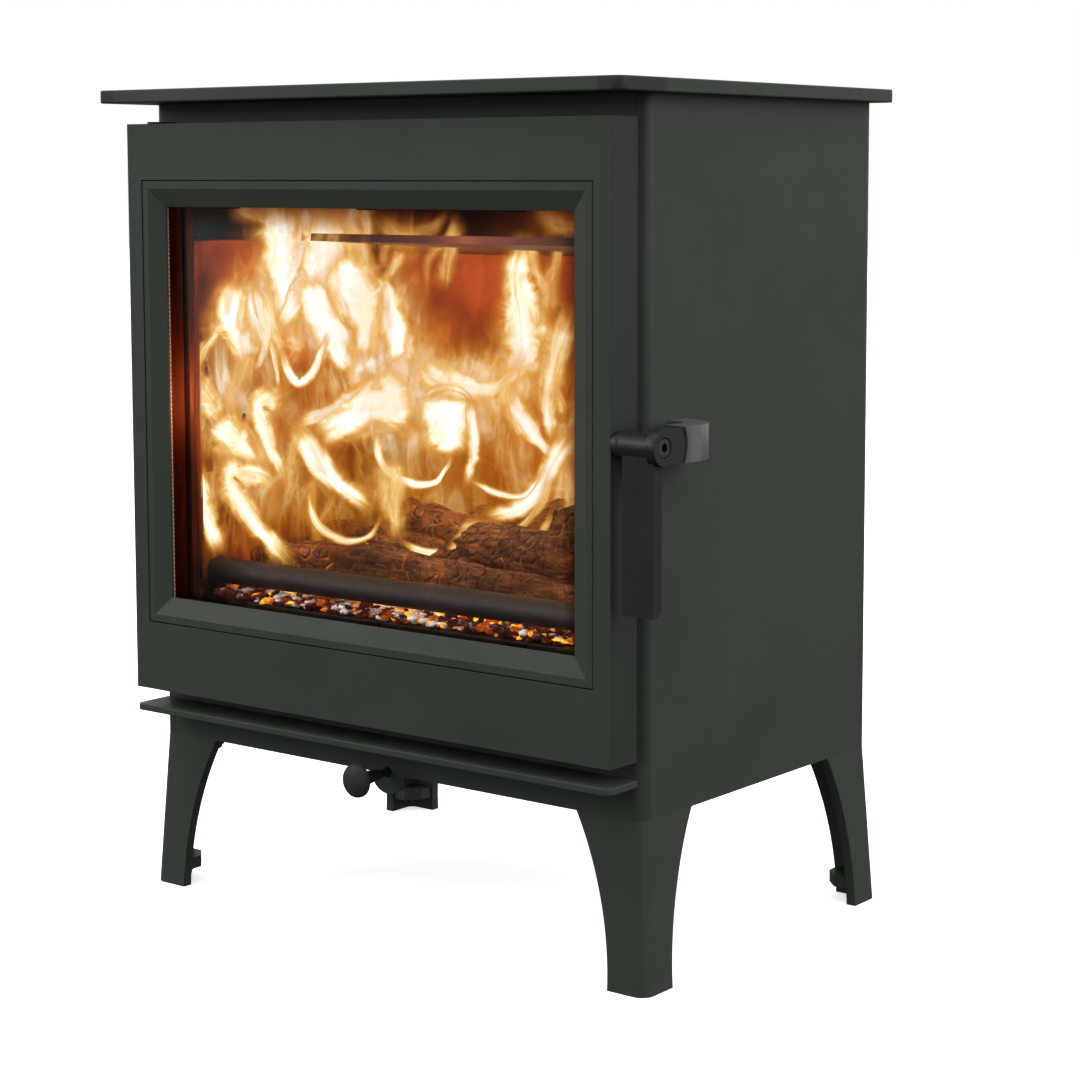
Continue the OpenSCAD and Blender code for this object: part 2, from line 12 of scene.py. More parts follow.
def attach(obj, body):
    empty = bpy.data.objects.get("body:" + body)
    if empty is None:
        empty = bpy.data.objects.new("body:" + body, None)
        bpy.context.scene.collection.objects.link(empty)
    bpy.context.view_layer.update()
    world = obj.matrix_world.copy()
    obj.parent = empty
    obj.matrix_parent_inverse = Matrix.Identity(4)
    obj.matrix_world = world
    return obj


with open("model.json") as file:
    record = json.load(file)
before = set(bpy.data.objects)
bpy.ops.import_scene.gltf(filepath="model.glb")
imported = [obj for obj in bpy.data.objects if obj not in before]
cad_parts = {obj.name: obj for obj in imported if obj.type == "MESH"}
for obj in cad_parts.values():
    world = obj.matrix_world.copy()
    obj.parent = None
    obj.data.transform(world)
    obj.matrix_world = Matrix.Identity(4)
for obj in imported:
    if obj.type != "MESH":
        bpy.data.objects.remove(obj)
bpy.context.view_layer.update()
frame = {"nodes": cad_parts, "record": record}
nodes = frame["nodes"]
scene = bpy.context.scene
MM = 0.001


# ---------------------------------------------------------------- node helpers


def srgb(code):
    """Linear colour of an sRGB hex code."""
    parts = [int(code[i : i + 2], 16) / 255 for i in (1, 3, 5)]
    linear = [c / 12.92 if c <= 0.04045 else ((c + 0.055) / 1.055) ** 2.4 for c in parts]
    return (*linear, 1.0)


class Shader:
    """A material's node tree, with short calls for the nodes that the finishes share."""

    def __init__(self, name):
        self.material = bpy.data.materials.new(name)
        self.material.use_nodes = True
        self.tree = self.material.node_tree
        self.tree.nodes.clear()
        self.out = self.tree.nodes.new("ShaderNodeOutputMaterial")
        self.where = self.tree.nodes.new("ShaderNodeTexCoord").outputs["Object"]

    def node(self, kind, **inputs):
        made = self.tree.nodes.new(kind)
        for key, value in inputs.items():
            self.put(made.inputs[key.replace("_", " ")], value)
        return made

    def put(self, socket, value):
        if isinstance(value, bpy.types.NodeSocket):
            self.tree.links.new(value, socket)
        else:
            socket.default_value = value

    def place(self):
        split = self.node("ShaderNodeSeparateXYZ", Vector=self.where)
        return split.outputs["X"], split.outputs["Y"], split.outputs["Z"]

    def noise(self, scale, detail=4.0, rough=0.55, warp=0.0, stretch=None, where=None):
        where = where or self.where
        if stretch:
            mapping = self.node("ShaderNodeMapping", Vector=where)
            mapping.inputs["Scale"].default_value = stretch
            where = mapping.outputs[0]
        made = self.node("ShaderNodeTexNoise", Vector=where, Scale=scale, Detail=detail, Roughness=rough)
        made.inputs["Distortion"].default_value = warp
        return made.outputs["Fac"]

    def cells(self, scale, feature="F1"):
        made = self.node("ShaderNodeTexVoronoi", Vector=self.where, Scale=scale)
        made.feature = feature
        return made.outputs["Distance"]

    def ramp(self, factor, stops):
        made = self.node("ShaderNodeValToRGB", Fac=factor)
        band = made.color_ramp
        band.elements.remove(band.elements[1])
        for index, (place, colour) in enumerate(stops):
            element = band.elements.new(place) if index else band.elements[0]
            element.position = place
            element.color = colour if len(colour) == 4 else (*colour, 1.0)
        return made.outputs["Color"]

    def span(self, factor, low, high, to_low=0.0, to_high=1.0, smooth=False):
        made = self.node("ShaderNodeMapRange", Value=factor)
        made.interpolation_type = "SMOOTHSTEP" if smooth else "LINEAR"
        for key, value in zip(("From Min", "From Max", "To Min", "To Max"), (low, high, to_low, to_high)):
            made.inputs[key].default_value = value
        return made.outputs["Result"]

    def math(self, operation, a, b=0.0):
        made = self.tree.nodes.new("ShaderNodeMath")
        made.operation = operation
        self.put(made.inputs[0], a)
        self.put(made.inputs[1], b)
        return made.outputs[0]

    def product(self, *factors):
        made = factors[0]
        for factor in factors[1:]:
            made = self.math("MULTIPLY", made, factor)
        return made

    def inverse(self, value):
        return self.math("SUBTRACT", 1.0, value)

    def mix(self, factor, a, b):
        made = self.tree.nodes.new("ShaderNodeMix")
        made.data_type = "RGBA"
        self.put(made.inputs[0], factor)
        self.put(made.inputs[6], a)
        self.put(made.inputs[7], b)
        return made.outputs[2]

    def bump(self, height, depth, strength=1.0, under=None):
        made = self.node("ShaderNodeBump", Height=height, Distance=depth, Strength=strength)
        if under is not None:
            self.put(made.inputs["Normal"], under)
        return made.outputs["Normal"]

    def attribute(self, name):
        made = self.tree.nodes.new("ShaderNodeAttribute")
        made.attribute_name = name
        return made.outputs["Fac"]

    def finish(self, shader):
        self.put(self.out.inputs["Surface"], shader.outputs[0])
        return self.material

    def principled(self, **inputs):
        return self.finish(self.node("ShaderNodeBsdfPrincipled", **inputs))

    def blend(self, factor, under, over):
        """Ends the material with one shader laid over another."""
        both = self.node("ShaderNodeMixShader")
        for socket, value in zip(both.inputs, (factor, under.outputs[0], over.outputs[0])):
            self.put(socket, value)
        return self.finish(both)


# ---------------------------------------------------------------- materials

BODY_X = 0.01035  # how far the middle of the body is to the left of the frame's origin


def paint(name, code, rough=0.46, shine=0.1, peel=0.00006):
    """Satin stove paint: fine sprayed texture and a slightly uneven sheen."""
    s = Shader(name)
    base = srgb(code)
    cloud = s.noise(9.0, 5.0, 0.6)
    fine = s.noise(1400.0, 2.0, 0.5)
    tone = s.ramp(s.math("ADD", s.math("MULTIPLY", cloud, 0.8), s.math("MULTIPLY", fine, 0.2)), [
        (0.3, [c * 0.9 for c in base[:3]]),
        (0.7, [c * 1.1 for c in base[:3]]),
    ])
    sheen = s.span(s.noise(60.0, 4.0, 0.6), 0.3, 0.7, rough - 0.04, rough + 0.05)
    x, y, z = s.place()
    off_centre = s.math("ABSOLUTE", s.math("ADD", x, BODY_X))
    # Browned by the fire: the inside of the door and the edges of the loading opening
    scorched = s.product(
        s.span(off_centre, 0.213, 0.2115), s.span(y, -0.1722, -0.166), s.span(y, 0.1495, 0.1475),
        s.span(z, 0.18, 0.19), s.span(z, 0.5895, 0.5875, 0.0, 0.92))
    tone = s.mix(scorched, tone, s.ramp(cloud, [(0.3, srgb("#35140a")), (0.7, srgb("#5c2a15"))]))
    # Painted shade: the door's side edges and the strip of the body beside them are darkened where they lie in the
    # door's shade
    painted_shade = s.product(s.span(off_centre, 0.2358, 0.2366), s.span(y, -0.1412, -0.1482), s.span(z, 0.16, 0.17, 0.0, 0.42))
    tone = s.mix(painted_shade, tone, srgb("#0c0f0b"))
    orange_peel = s.bump(s.noise(420.0, 3.0, 0.6), peel, 0.55)
    grain = s.bump(fine, 0.00002, 0.5, orange_peel)
    return s.principled(Base_Color=tone, Roughness=sheen, Specular_IOR_Level=shine, Normal=grain)


def black_finish(name, tones=("#1d1d1e", "#252526")):
    """Matt black coating with a fine powder grain."""
    s = Shader(name)
    fine = s.noise(1800.0, 3.0, 0.6)
    tone = s.ramp(s.noise(30.0, 4.0), [(0.3, srgb(tones[0])), (0.7, srgb(tones[1]))])
    sheen = s.span(s.noise(90.0, 3.0), 0.3, 0.7, 0.4, 0.52)
    return s.principled(Base_Color=tone, Roughness=sheen, Specular_IOR_Level=0.1, Normal=s.bump(fine, 0.00003, 0.6))


def cast_iron(name, tones=("#1d1b1a", "#2c2826", "#43332a")):
    """Rough sand-cast iron, browned by heat."""
    s = Shader(name)
    patches = s.noise(26.0, 6.0, 0.65, 0.4)
    tone = s.ramp(patches, [(0.3 + 0.22 * i, srgb(code)) for i, code in enumerate(tones)])
    sand = s.noise(520.0, 4.0, 0.7)
    pits = s.span(s.cells(260.0), 0.0, 0.35)
    surface = s.bump(s.math("MULTIPLY", sand, pits), 0.00025, 0.7)
    return s.principled(Base_Color=tone, Roughness=s.span(sand, 0.3, 0.7, 0.5, 0.72), Metallic=0.35, Normal=surface)


def mill_steel(name, low="#4a4846", high="#6a6764", rough=0.42, metal=0.85):
    """Rolled steel: fine lines along X and dull heat patches."""
    s = Shader(name)
    lines = s.noise(60.0, 6.0, 0.7, 0.0, (1.0, 30.0, 30.0))
    patches = s.noise(14.0, 4.0)
    tone = s.ramp(s.math("ADD", s.math("MULTIPLY", lines, 0.5), s.math("MULTIPLY", patches, 0.5)),
                  [(0.35, srgb(low)), (0.65, srgb(high))])
    sheen = s.span(patches, 0.3, 0.7, rough - 0.08, rough + 0.1)
    return s.principled(Base_Color=tone, Roughness=sheen, Metallic=metal, Normal=s.bump(lines, 0.00003, 0.5))


def firebrick(name):
    """Firebrick: gritty red-brown face, pale where burnt clean and sooty in patches."""
    s = Shader(name)
    grit = s.noise(330.0, 5.0, 0.75)
    clouds = s.noise(11.0, 5.0, 0.6, 0.6)
    specks = s.span(s.cells(210.0), 0.05, 0.32)
    tone = s.ramp(s.math("ADD", s.math("MULTIPLY", clouds, 0.7), s.math("MULTIPLY", grit, 0.3)), [
        (0.3, srgb("#3f1c0e")), (0.45, srgb("#6a3118")), (0.6, srgb("#8e4824")), (0.75, srgb("#a4683c")),
    ])
    sooty = s.mix(s.span(s.noise(5.0, 3.0, 0.6, 1.0), 0.52, 0.72, 0.0, 0.75), tone, srgb("#2a130c"))
    coarse = s.mix(s.math("MULTIPLY", s.math("SUBTRACT", 1.0, specks), 0.5), sooty, srgb("#3a1c12"))
    surface = s.bump(s.math("ADD", grit, s.math("MULTIPLY", clouds, 0.6)), 0.0009, 0.8)
    return s.principled(Base_Color=coarse, Roughness=0.92, Specular_IOR_Level=0.15, Normal=surface)


def sealing_rope(name):
    """Knitted glass rope: crossing strands."""
    s = Shader(name)
    strands = s.node("ShaderNodeTexWave", Vector=s.where, Scale=180.0, Distortion=2.0, Detail=2.0)
    strands.bands_direction = "DIAGONAL"
    tone = s.ramp(strands.outputs["Fac"], [(0.2, srgb("#7d786c")), (0.8, srgb("#c9c3b4"))])
    return s.principled(Base_Color=tone, Roughness=0.9, Normal=s.bump(strands.outputs["Fac"], 0.0006, 0.8))


def stove_glass(name):
    """Clear glass-ceramic: see-through with a thin reflection, a faint brown film and sooted edges."""
    s = Shader(name)
    film = s.ramp(s.noise(7.0, 4.0, 0.6, 0.5), [(0.35, (1.0, 1.0, 1.0, 1.0)), (0.75, (0.985, 0.97, 0.945, 1.0))])
    x, y, z = s.place()
    edges = [s.span(x, -0.186, -0.209), s.span(x, 0.174, 0.192), s.span(z, 0.53, 0.552), s.span(z, 0.249, 0.238)]
    sooted = s.inverse(s.product(*(s.inverse(edge) for edge in edges)))
    soot = s.product(sooted, s.span(s.noise(24.0, 4.0, 0.6), 0.3, 0.7, 0.6, 0.86))
    clear = s.node("ShaderNodeBsdfTransparent", Color=s.mix(soot, film, (0.26, 0.1, 0.05, 1.0)))
    gloss = s.node("ShaderNodeBsdfGlossy", Color=(1.0, 1.0, 1.0, 1.0), Roughness=0.04)
    fresnel = s.node("ShaderNodeFresnel", IOR=1.35)
    return s.blend(s.product(fresnel.outputs[0], 0.1), clear, gloss)


FINISHES = {
    "stove_paint": paint("stove_paint", "#323931"),
    "black_fittings": black_finish("black_fittings"),
    "cast_iron": cast_iron("cast_iron"),
    "plain_steel": mill_steel("plain_steel"),
    "fasteners": mill_steel("fasteners", "#2c2c2d", "#454547", 0.36),
    "brass_washer": mill_steel("brass_washer", "#8d6d2f", "#b8924a", 0.35, 1.0),
    "fire_brick": firebrick("fire_brick"),
    "stove_glass": stove_glass("stove_glass"),
    "sealing_rope": sealing_rope("sealing_rope"),
}


# ---------------------------------------------------------------- CAD nodes


def soften(obj, width, segments=3):
    """Rounds a node's edges as paint and casting do, without touching its own mesh."""
    weld = obj.modifiers.new("weld", "WELD")
    weld.merge_threshold = 0.00001
    merge = obj.modifiers.new("flat_faces", "DECIMATE")
    merge.decimate_type = "DISSOLVE"
    merge.angle_limit = math.radians(0.5)
    bevel = obj.modifiers.new("edges", "BEVEL")
    bevel.width = width
    bevel.segments = segments
    bevel.limit_method = "ANGLE"
    bevel.angle_limit = math.radians(32)
    bevel.harden_normals = True
    bevel.use_clamp_overlap = True


EDGE_MM = {
    "hob_plate": 1.2, "door_frame": 2.2, "door_bezel": 0.7, "ash_lip": 1.0, "body_wrap": 0.8, "back_panel": 0.5,
    "leg_front_left": 2.8, "leg_front_right": 2.8, "leg_rear_left": 2.8, "leg_rear_right": 2.8,
    "handle_head": 1.0, "latch_keeper": 1.6, "handle_grip": 0.9, "handle_bush": 0.6,
    "hinge_lug_upper": 0.8, "hinge_lug_lower": 0.8, "fire_bed_frame": 1.2, "log_guard": 1.0, "grate": 0.8,
    "firebrick_left": 1.2, "firebrick_right": 1.2, "firebrick_rear": 1.2, "flue_collar": 1.2, "collar_flange": 0.8,
}

# The handle and its keeper are smoother than the sheet steel round them, and the knob is a lighter black; the keeper is
# the handle's paint made lighter, a painted highlight for the light from the right on its end; the bar and the baffle
# are browned by the fire
SMOOTH_PAINT = paint("smooth_paint", "#20251f", 0.38, 0.2, 0.00001)
# Painted highlight: the keeper's paint is a lighter copy of the handle's, standing in for light falling on its end
KEEPER_LIT_PAINT = paint("keeper_lit_paint", "#4d504b", 0.36, 0.5, 0.00001)
KNOB_BLACK = black_finish("knob_black", ("#262627", "#2f2f30"))
HOT_IRON = cast_iron("hot_iron", ("#3b2a24", "#553a30", "#6f4c3a"))
BAR_IRON = cast_iron("bar_iron", ("#18110f", "#251a16", "#352620"))
SPECIAL = {
    "handle_head": SMOOTH_PAINT, "handle_bush": SMOOTH_PAINT, "latch_keeper": KEEPER_LIT_PAINT,
    "air_knob": KNOB_BLACK, "baffle_plate": HOT_IRON, "log_guard": BAR_IRON,
}

slot_of = {part["node"]: part["material_slot"] for part in frame["record"]["subparts"]}
for name, obj in nodes.items():
    obj.data.materials.clear()
    obj.data.materials.append(SPECIAL.get(name) or FINISHES[slot_of[name]])
    if name in EDGE_MM:
        soften(obj, EDGE_MM[name] * MM)


# ---------------------------------------------------------------- fire

FLAME_COLOURS = [
    (0.0, srgb("#6a2606")), (0.22, srgb("#ab5510")), (0.42, srgb("#dc8f2e")),
    (0.62, srgb("#f6c878")), (0.82, srgb("#ffedc4")), (1.0, srgb("#fffdf2")),
]
TONGUE_COLOURS = [(0.0, srgb("#d47a24")), (0.35, srgb("#e39a3c"))] + FLAME_COLOURS[3:]

# The sheet of flame, in mm: how far it runs, where its left front corner is, and how far along it turns to follow
# the back of the firebox
FIRE_LEFT, FIRE_RIGHT = -28.0, 428.0
FIRE_LOW, FIRE_HIGH = 240.0, 552.0
CORNER_X, CORNER_Y = -212.0, -114.0
DIAGONAL = 284.0
# Limits of the fire: the left edge and the plane of the loading opening, and the brick on the right
OPENING_LEFT, OPENING_Y = -206.0, -149.0
BRICK_RIGHT = 186.0


def on_fire(t, z, s, layer=0):
    """Point of the fire, in metres: t mm along the sheet of flame from its left front corner, z mm up and s mm
    towards the door. Tongues that would meet the brick or the log guard are pressed flat against them, one layer
    in front of another. None passes the loading opening, so the fire stays clear of the glass, and inside the
    stove when the door opens."""
    t = max(t, FIRE_LEFT)
    s = min(max(s, 3.0 - 1.34 * t), 9.0 + max(0.75 * t, -1.5 * t)) + 0.22 * layer
    past = max(t - DIAGONAL, 0.0)
    t = min(t, DIAGONAL)
    x, y = CORNER_X + 0.8 * t + 0.6 * s + past, CORNER_Y + 0.6 * t - 0.8 * s - 0.3 * past
    back = max(OPENING_Y + 0.1 * layer - y, 0.0)
    return Vector((max(min(x - 0.75 * back, BRICK_RIGHT), OPENING_LEFT) * MM, (y + back) * MM, z * MM))


def glow(s, power, alpha, colours=FLAME_COLOURS):
    """Ends a flame material: light of the flame's colour over what is behind it."""
    light = s.node("ShaderNodeEmission", Color=s.ramp(power, colours), Strength=s.span(power, 0.6, 1.1, 1.0, 1.35))
    clear = s.node("ShaderNodeBsdfTransparent", Color=(1.0, 1.0, 1.0, 1.0))
    return s.blend(alpha, clear, light)


def lick_finish():
    """Flame tongue: soft edges, bright core, streaks that run with the flow, thin ends."""
    s = Shader("flame_licks")
    across, along = s.attribute("across"), s.attribute("along")
    heat, seed = s.attribute("warmth"), s.attribute("seed")
    wobble = s.product(s.math("SUBTRACT", s.noise(42.0, 3.0, 0.55, 0.6), 0.5), 0.9)
    soft = s.span(s.math("ABSOLUTE", s.math("ADD", across, wobble)), 0.99, 0.1, smooth=True)
    flow = s.node("ShaderNodeCombineXYZ", X=s.product(across, 1.6), Y=s.product(along, 1.3), Z=s.product(seed, 37.0))
    streaks = s.span(s.noise(1.7, 4.0, 0.6, 0.6, where=flow.outputs[0]), 0.3, 0.7, 0.72, 1.2)
    ends = s.product(s.span(along, 0.0, 0.2), s.span(along, 1.0, 0.8))
    power = s.product(s.math("POWER", soft, 1.35), ends, s.product(heat, streaks))
    return glow(s, power, s.math("POWER", s.span(power, 0.02, 0.66, 0.0, 0.99), 1.35), TONGUE_COLOURS)


def veil_finish(name, offset):
    """Thin burning gas: rising, folded filaments inside a soft glow."""
    s = Shader(name)
    heat = s.attribute("warmth")
    place = s.node("ShaderNodeMapping", Vector=s.where)
    place.inputs["Location"].default_value = (offset, offset, offset)
    place.inputs["Scale"].default_value = (1.0, 1.0, 0.42)
    broad = s.noise(13.0, 3.0, 0.55, 1.4, where=place.outputs[0])
    fine = s.noise(26.0, 3.0, 0.5, 2.4, where=place.outputs[0])
    ridge = s.span(s.math("ABSOLUTE", s.math("SUBTRACT", fine, 0.5)), 0.075, 0.0)
    body = s.product(heat, s.span(broad, 0.34, 0.64, 0.18, 1.3))
    thread = s.product(ridge, s.math("POWER", heat, 0.7), 0.22)
    power = s.math("ADD", body, thread)
    return glow(s, power, s.span(power, 0.08, 0.95, 0.0, 0.9))


def add_piece(name, verts, faces, finish, attributes=None):
    """Makes a smooth piece that rides the fixed stove."""
    mesh = bpy.data.meshes.new(name)
    mesh.from_pydata([tuple(v) for v in verts], [], faces)
    for key, values in (attributes or {}).items():
        layer = mesh.attributes.new(key, "FLOAT", "POINT")
        layer.data.foreach_set("value", values)
    mesh.polygons.foreach_set("use_smooth", [True] * len(mesh.polygons))
    mesh.materials.append(finish)
    mesh.update()
    obj = bpy.data.objects.new(name, mesh)
    scene.collection.objects.link(obj)
    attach(obj, "stove")


def grid_faces(rows, columns, first=0):
    """Quads of a grid of vertices, numbered row by row from first."""
    row = columns + 1
    corners = [first + i * row + k for i in range(rows) for k in range(columns)]
    return [(p, p + 1, p + 1 + row, p + row) for p in corners]


def catmull(points, steps):
    """Smooth run of points through the given ones."""
    padded = [points[0] * 2 - points[1], *points, points[-1] * 2 - points[-2]]
    run = []
    for i in range(1, len(padded) - 2):
        p0, p1, p2, p3 = padded[i - 1 : i + 3]
        for k in range(steps):
            u = k / steps
            run.append(0.5 * (2 * p1 + (p2 - p0) * u + (2 * p0 - 5 * p1 + 4 * p2 - p3) * u * u
                              + (3 * p1 - p0 - 3 * p2 + p3) * u**3))
    run.append(padded[-2])
    return run


# Flame tongues as (mm towards the door, half width, heat, points of the middle line on the fire's diagonal)
LICKS = [
    # the plume that rises to the top of the window
    (24, 20, 1.05, [(50, 566), (52, 516), (54, 488), (52, 440)]),
    (30, 20, 1.15, [(90, 566), (86, 500), (88, 468), (104, 430)]),
    (26, 11, 1.1, [(90, 555), (80, 512), (64, 482), (44, 446)]),
    (14, 24, 0.95, [(18, 496), (16, 458), (26, 420)]),
    (34, 15, 1.15, [(70, 500), (80, 468), (96, 440), (112, 420)]),
    (36, 18, 1.15, [(100, 520), (108, 486), (118, 458), (112, 424)]),
    (32, 13, 1.0, [(124, 500), (132, 474), (140, 448), (138, 420)]),
    (20, 9, 0.9, [(66, 560), (70, 530), (62, 500), (70, 470)]),
    (22, 8, 0.8, [(112, 560), (104, 536), (116, 506), (124, 480)]),
    (16, 11, 1.0, [(110, 462), (108, 432), (106, 400)]),
    (16, 11, 1.0, [(142, 458), (142, 428), (142, 398)]),
    # curls under the plume
    (36, 4.5, 1.1, [(50, 446), (56, 422), (64, 412), (74, 418), (82, 436), (90, 456)]),
    (22, 4.5, 1.0, [(28, 498), (32, 470), (38, 448), (32, 428), (24, 418)]),
    (24, 3, 0.85, [(38, 450), (44, 428), (46, 402)]),
    # left side
    (12, 8, 1.0, [(-36, 476), (-28, 434), (-16, 402), (4, 368)]),
    (20, 12, 0.5, [(24, 440), (16, 414), (0, 380)]),
    (18, 13, 0.78, [(-24, 416), (-14, 398), (0, 380)]),
    (14, 11, 0.72, [(-34, 368), (-14, 378)]),
    (28, 15, 0.92, [(-12, 378), (8, 364), (32, 340)]),
    (40, 10, 0.92, [(60, 408), (32, 394), (40, 366), (56, 326)]),
    (48, 12, 0.97, [(54, 326), (30, 338), (6, 334), (20, 308), (40, 286), (64, 266)]),
    (22, 9, 0.88, [(-28, 350), (-16, 314), (-2, 268)]),
    (12, 9, 0.78, [(-40, 338), (-36, 308), (-24, 270)]),
    # the broad white hand in the middle
    (44, 20, 1.1, [(164, 408), (128, 396), (100, 382), (76, 368)]),
    (46, 10, 1.1, [(150, 410), (124, 406), (96, 392), (56, 376)]),
    (50, 10, 1.0, [(60, 384), (78, 354), (96, 334), (128, 310)]),
    (44, 3.5, 0.98, [(128, 392), (126, 364), (132, 344), (148, 334), (168, 332), (180, 344), (190, 362)]),
    (40, 8, 0.5, [(128, 388), (154, 370), (176, 358)]),
    (40, 23, 1.1, [(180, 406), (180, 378), (186, 352)]),
    (42, 6, 1.0, [(198, 402), (202, 366), (196, 326)]),
    (40, 3.5, 0.75, [(156, 394), (174, 408), (192, 406), (206, 390)]),
    # band and tall tongue on the right
    (30, 12, 0.9, [(154, 442), (168, 420), (186, 412), (212, 406), (230, 416), (244, 444)]),
    (30, 17, 0.95, [(212, 404), (238, 432), (240, 466), (236, 496), (246, 534)]),
    (30, 6, 0.65, [(243, 528), (252, 498), (264, 474)]),
    # crossing wisps on the right
    (44, 9, 0.9, [(230, 416), (236, 390), (252, 368), (270, 350)]),
    (46, 10, 0.8, [(277, 480), (266, 430), (260, 396), (267, 358)]),
    (50, 10, 1.0, [(286, 382), (264, 350), (252, 326), (232, 312), (206, 305)]),
    (56, 3.2, 0.92, [(196, 340), (216, 328), (232, 324), (246, 328), (262, 354)]),
    (56, 4, 0.7, [(266, 352), (256, 320), (240, 300), (222, 290)]),
    # thin arcs over the logs
    (64, 3.2, 0.9, [(76, 342), (76, 314), (86, 298), (104, 290), (122, 294), (134, 314)]),
    (64, 3.2, 0.9, [(142, 292), (162, 282), (186, 282), (200, 288), (212, 312)]),
    (60, 14, 0.62, [(138, 358), (138, 328), (144, 284)]),
    (68, 9, 0.88, [(212, 312), (200, 292), (186, 270), (172, 252)]),
    (68, 5, 0.68, [(218, 308), (206, 282), (198, 262)]),
    (64, 5, 0.7, [(208, 306), (232, 296), (254, 294), (268, 320)]),
    (70, 6, 0.55, [(278, 366), (278, 310), (278, 256)]),
    # flames at the top of the window
    (2, 8, 0.55, [(120, 546), (136, 530), (152, 528), (170, 534), (182, 550)]),
    (2, 7, 0.7, [(110, 556), (116, 528), (106, 506)]),
    (2, 5, 0.5, [(196, 538), (180, 522), (164, 506), (162, 474)]),
    (4, 6, 0.65, [(144, 518), (136, 502), (128, 484)]),
    (20, 10, 0.5, [(246, 552), (266, 536), (288, 530)]),
    (2, 9, 0.6, [(6, 552), (24, 544), (44, 548)]),
    # right half of the firebox
    (12, 12, 1.0, [(300, 300), (306, 350), (296, 400), (308, 450), (302, 490)]),
    (24, 14, 1.1, [(330, 290), (322, 330), (336, 380), (328, 430)]),
    (10, 9, 0.9, [(346, 330), (356, 380), (346, 430), (360, 480), (352, 512)]),
    (30, 13, 1.1, [(372, 284), (380, 326), (366, 366), (374, 410)]),
    (16, 8, 0.85, [(396, 300), (388, 350), (402, 396), (394, 446)]),
    (34, 10, 1.0, [(410, 270), (416, 310), (404, 346), (412, 384)]),
    (38, 4, 0.9, [(318, 300), (332, 284), (352, 282), (366, 300)]),
    (36, 4, 0.9, [(362, 296), (384, 280), (402, 284), (414, 306)]),
]

# Where the gas glows, as (middle t, middle z, reach in t, reach in z, heat)
GLOWS = [
    (76, 530, 42, 70, 0.75), (84, 470, 56, 46, 0.85), (116, 452, 44, 30, 0.6), (26, 462, 26, 40, 0.5),
    (128, 392, 70, 34, 0.5), (182, 384, 34, 34, 0.55), (200, 412, 60, 22, 0.4), (240, 450, 26, 80, 0.5),
    (270, 400, 30, 70, 0.42), (256, 330, 40, 50, 0.4), (30, 350, 46, 46, 0.42), (-10, 400, 26, 60, 0.42),
    (110, 330, 90, 50, 0.34), (-16, 300, 26, 50, 0.42), (150, 530, 40, 24, 0.36), (280, 545, 26, 16, 0.45),
    (136, 420, 120, 60, 0.22), (190, 300, 80, 40, 0.3), (60, 300, 60, 40, 0.26),
    (322, 360, 36, 70, 0.6), (372, 340, 40, 60, 0.6), (352, 450, 26, 60, 0.4), (408, 320, 26, 60, 0.45),
    (310, 460, 24, 50, 0.4),
]

ACROSS = 8  # faces across a tongue
WISP_TRIES = 36
COALS, FRONT_COALS = 1200, 900


def wisps():
    """Small loose tongues that rise and curl where the gas glows."""
    rng = random.Random(11)
    loose = []
    for _ in range(WISP_TRIES):
        t0, z0, reach_t, reach_z, heat = rng.choice(GLOWS)
        t, z = rng.gauss(t0, reach_t * 0.5), rng.gauss(z0, reach_z * 0.45)
        height = rng.uniform(30, 80)
        sway, lean = rng.uniform(-5, 5), rng.uniform(-16, 16)
        line = [(t + sway * math.sin(k * 1.3) + lean * k / 4, z + height * (k / 4 - 0.5)) for k in range(5)]
        if all(-20 < a < 420 and 262 < b < FIRE_HIGH for a, b in line):
            loose.append((rng.uniform(6, 60), rng.uniform(3.0, 8.0), rng.uniform(0.4, 0.72), line))
    return loose


def bend(a, b, c):
    """Side and radius of the turn at b: above zero where the run turns left."""
    turn = (b - a).cross(c - b).z
    return turn, (b - a).length * (c - b).length * (c - a).length / max(2 * abs(turn), 1e-6)


def licks():
    """The flame tongues, in three pieces by how near the door they are."""
    groups = {}
    for index, (s, half, heat, line) in enumerate(LICKS + wisps()):
        depth = min(int(s) // 24, 2)
        verts, faces, across, along, heats, seeds = groups.setdefault(depth, ([], [], [], [], [], []))
        run = catmull([Vector((t, z, 0.0)) for t, z in line], 10)
        first = len(verts)
        belly = noise.noise(Vector((index * 3.1, 0.0, 0.0))) * 6.0
        for i, point in enumerate(run):
            u = i / (len(run) - 1)
            ahead = run[min(i + 1, len(run) - 1)] - run[max(i - 1, 0)]
            ahead.normalize()
            wide = half * 1.85 * (0.66 + 0.4 * math.sin(math.pi * min(1.0, u * 1.15 + 0.12)))
            wide *= 1.0 + 0.22 * noise.noise(Vector((index * 5.3, u * 3.0, 0.0)))
            turn, radius = bend(*(run[min(max(i + step, 0), len(run) - 1)] for step in (-2, 0, 2)))
            for k in range(ACROSS + 1):
                a = 2 * k / ACROSS - 1
                reach = min(wide, radius * 0.95) if a * turn > 0 else wide
                t, z = point.x - ahead.y * reach * a, point.y + ahead.x * reach * a
                rise = (1 - a * a) * min(wide, 14) * 0.5 + belly * math.sin(math.pi * u)
                verts.append(on_fire(t, min(z, 560.0), s + rise, index % 24))
                across.append(a)
                along.append(u)
                heats.append(heat)
                seeds.append((index * 0.618) % 1.0)
        faces.extend(grid_faces(len(run) - 1, ACROSS, first))
    finish = lick_finish()
    for depth, (verts, faces, across, along, heats, seeds) in groups.items():
        add_piece(f"flame_licks_{depth}", verts, faces, finish,
                  {"across": across, "along": along, "warmth": heats, "seed": seeds})


